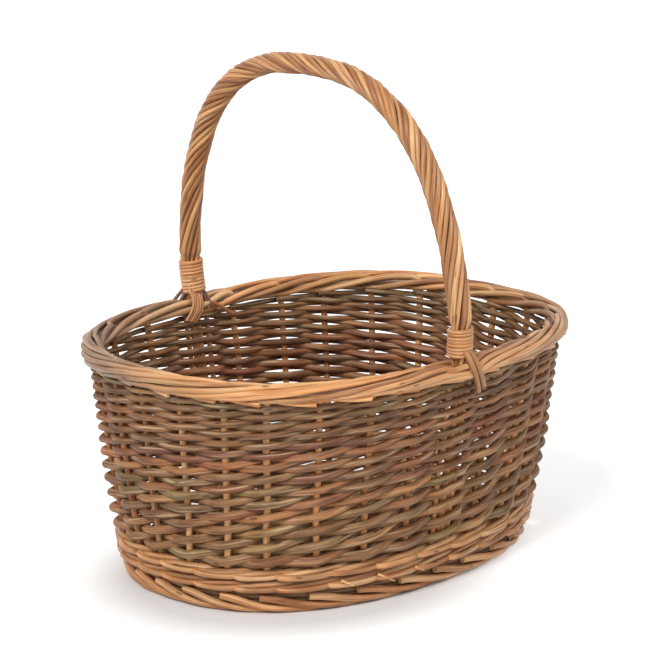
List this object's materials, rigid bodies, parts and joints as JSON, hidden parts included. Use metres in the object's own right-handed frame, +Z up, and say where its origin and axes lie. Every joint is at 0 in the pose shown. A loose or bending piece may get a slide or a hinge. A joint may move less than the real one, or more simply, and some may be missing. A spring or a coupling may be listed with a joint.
{
  "type": "willow shopping basket",
  "caption": "Oval open-weave willow shopping basket with flared walls, a raised foot, a rolled border and a fixed roped bow handle over the middle.",
  "frame": {"origin": "on the floor under the middle of the basket", "axes": "+X along the oval's long side, +Z up, the handle stands over the Y axis"},
  "size_m": [0.4501, 0.3534, 0.4452],
  "materials": {
    "buff_stake": "satin",
    "buff_wale": "satin",
    "buff_handle": "satin",
    "buff_lapping": "satin",
    "bark_red": "matte",
    "bark_green": "matte",
    "base_rod": "matte"
  },
  "bodies": {
    "root": {"base_weave": "base_rod", "cross_base_stick_1": "base_rod", "cross_base_stick_2": "base_rod", "cross_base_stick_3": "base_rod", "cross_base_stick_4": "base_rod", "cross_base_stick_5": "base_rod", "far_handle_lapping": "buff_lapping", "far_handle_liner_left": "buff_stake", "far_handle_liner_right": "buff_stake", "foot_border": "buff_wale", "handle_bow": "buff_handle", "handle_roping_1": "buff_handle", "handle_roping_2": "buff_handle", "long_base_stick_1": "base_rod", "long_base_stick_2": "base_rod", "long_base_stick_3": "base_rod", "near_handle_lapping": "buff_lapping", "near_handle_liner_left": "buff_stake", "near_handle_liner_right": "buff_stake", "siding_course_01": "bark_red", "siding_course_02": "bark_green", "siding_course_03": "bark_red", "siding_course_04": "bark_green", "siding_course_05": "bark_red", "siding_course_06": "bark_green", "siding_course_07": "bark_red", "siding_course_08": "bark_green", "siding_course_09": "bark_red", "siding_course_10": "bark_green", "stake_01": "buff_stake", "stake_02": "buff_stake", "stake_03": "buff_stake", "stake_04": "buff_stake", "stake_05": "buff_stake", "stake_06": "buff_stake", "stake_07": "buff_stake", "stake_08": "buff_stake", "stake_09": "buff_stake", "stake_10": "buff_stake", "stake_11": "buff_stake", "stake_12": "buff_stake", "stake_13": "buff_stake", "stake_14": "buff_stake", "stake_15": "buff_stake", "stake_16": "buff_stake", "stake_17": "buff_stake", "stake_18": "buff_stake", "stake_19": "buff_stake", "stake_20": "buff_stake", "stake_21": "buff_stake", "stake_22": "buff_stake", "stake_23": "buff_stake", "stake_24": "buff_stake", "stake_25": "buff_stake", "upsett_wale_1": "buff_wale", "upsett_wale_2": "buff_wale", "upsett_wale_3": "buff_wale"}
  },
  "joints": []
}
